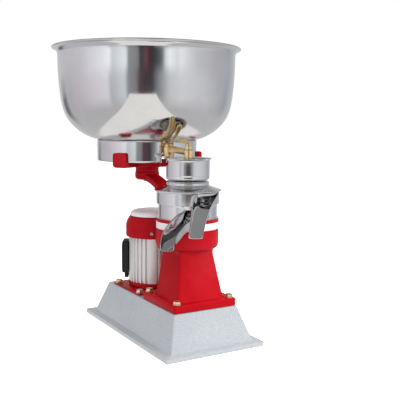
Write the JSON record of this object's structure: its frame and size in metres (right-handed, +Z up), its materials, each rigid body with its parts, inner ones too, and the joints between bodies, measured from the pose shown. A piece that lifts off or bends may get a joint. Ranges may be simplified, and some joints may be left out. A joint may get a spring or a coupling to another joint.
{
  "type": "cream separator",
  "caption": "Electric cream separator: polished steel milk tank with a brass tap, red head with two spouts, motor, grey base",
  "frame": {"origin": "centre of the overall box at the base's foot plane", "axes": "+Z up, -Y to the front where the separating head and both spouts are, +X to the right seen from the front"},
  "size_m": [0.4, 0.494, 0.584],
  "materials": {
    "hammertone": "hammertone silver-grey paint",
    "enamel": "glossy red enamel",
    "label": "plain white sheet band",
    "zinc": "yellow zinc plating",
    "stainless": "mirror-polished stainless steel",
    "ground_steel": "ground bare steel",
    "brass": "machined brass",
    "bare_aluminium": "extruded aluminium",
    "cap_plastic": "pale grey moulded plastic",
    "black_plastic": "dark grey moulded plastic",
    "rubber": "black rubber",
    "copper": "wound copper on laminated steel"
  },
  "bodies": {
    "frame": {"base_stand": "hammertone", "frame_casting": "enamel", "label_band": "label", "frame_bolt_1": "zinc", "frame_bolt_2": "zinc", "frame_bolt_3": "zinc", "frame_bolt_4": "zinc", "motor_bolt_1": "zinc", "motor_bolt_2": "zinc", "motor_bolt_3": "zinc", "motor_bolt_4": "zinc", "motor_plate": "enamel", "bracket_arm": "enamel", "tank_bracket": "enamel", "hub_bolt": "ground_steel", "arm_screw": "ground_steel", "spindle_bearing_low": "ground_steel", "spindle_bearing_high": "ground_steel", "skim_milk_cover": "stainless", "cream_cover": "stainless", "cover_lid": "stainless", "float_chamber": "stainless", "lower_end_shield": "enamel", "motor_housing": "bare_aluminium", "upper_end_shield": "enamel", "fan_cap": "cap_plastic", "cover_screw_1": "ground_steel", "cover_screw_2": "ground_steel", "cover_screw_3": "ground_steel", "motor_bearing_low": "ground_steel", "motor_bearing_high": "ground_steel", "stator_core": "copper", "terminal_box": "black_plastic", "terminal_cover": "black_plastic", "cable_gland": "black_plastic", "drive_belt": "rubber"},
    "tank": {"milk_tank": "stainless", "tank_skirt": "stainless", "tap_body": "brass", "tank_nut": "brass"},
    "tap_handle": {"tap_plug": "brass", "tap_lever": "brass", "tap_nut": "brass"},
    "nozzle_wing": {"nozzle_cap": "brass"},
    "float_body": {"float": "stainless"},
    "bowl": {"spindle": "ground_steel", "spindle_pulley": "bare_aluminium", "bowl_body": "stainless", "bowl_seal": "rubber", "bowl_hood": "stainless", "distributor": "stainless", "disc_1": "stainless", "disc_2": "stainless", "disc_3": "stainless", "bowl_nut": "ground_steel"},
    "motor_rotor": {"motor_shaft": "ground_steel", "rotor_core": "ground_steel", "cooling_fan": "black_plastic", "drive_pulley": "bare_aluminium"}
  },
  "joints": [
    {"name": "tank_lift", "type": "slide", "parent": "frame", "child": "tank", "axis": [0, 0, 1], "range_m": [0, 0.06]},
    {"name": "tap_turn", "type": "hinge", "parent": "tank", "child": "tap_handle", "pos_m": [-0.00762, -0.06474, 0.375], "axis": [0, 0, 1], "range_deg": [-20, 20]},
    {"name": "nozzle_cap_turn", "type": "hinge", "parent": "tank", "child": "nozzle_wing", "pos_m": [-0.01394, -0.15753, 0.3885], "axis": [0, 0, 1], "range_deg": [0, 80]},
    {"name": "float_rise", "type": "slide", "parent": "frame", "child": "float_body", "axis": [0, 0, 1], "range_m": [0, 0.004]},
    {"name": "motor_spin", "type": "hinge", "parent": "frame", "child": "motor_rotor", "pos_m": [0, 0.0165, 0.15], "axis": [0, 0, 1], "continuous": true},
    {"name": "bowl_spin", "type": "hinge", "parent": "frame", "child": "bowl", "pos_m": [0, -0.131, 0.15], "axis": [0, 0, 1], "continuous": true}
  ],
  "couplings": [
    {"joint": "bowl_spin", "follows": "motor_spin", "ratio": 3}
  ]
}
